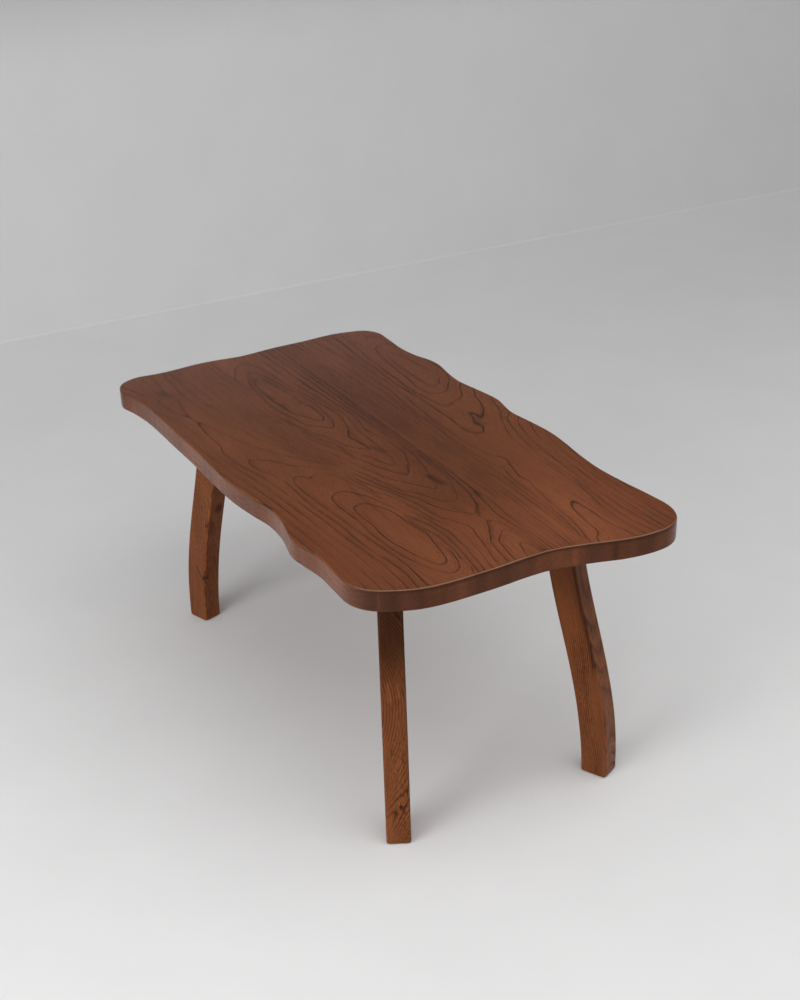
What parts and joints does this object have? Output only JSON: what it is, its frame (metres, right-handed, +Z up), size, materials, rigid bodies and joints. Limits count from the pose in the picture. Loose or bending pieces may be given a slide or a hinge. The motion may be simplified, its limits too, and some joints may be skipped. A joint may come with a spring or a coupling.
{
  "type": "side table",
  "caption": "Low side table: a free-form plank top with a waved edge on bowed legs of rectangular section, joined by blind tenons.",
  "frame": {"origin": "on the floor under the middle of the top's outline", "axes": "+X along the grain of the boards, towards the wider end of the back board; +Y from the front board to the back board; +Z up"},
  "size_m": [0.996, 0.547, 0.48],
  "materials": {
    "top_wood": "dark red-brown stained elm under satin lacquer",
    "leg_wood": "dark red-brown stained elm under satin lacquer",
    "dowel_wood": "bare beech, hidden in the glue lines",
    "wedge_wood": "bare oak, hidden in the mortises"
  },
  "bodies": {
    "root": {"board_front": "top_wood", "board_middle": "top_wood", "board_back": "top_wood", "dowels_front_joint": "dowel_wood", "dowels_back_joint": "dowel_wood", "leg_front_left": "leg_wood", "leg_front_right": "leg_wood", "leg_back_left": "leg_wood", "leg_back_right": "leg_wood", "wedge_front_left": "wedge_wood", "wedge_front_right": "wedge_wood", "wedge_back_left": "wedge_wood", "wedge_back_right": "wedge_wood"}
  },
  "joints": []
}
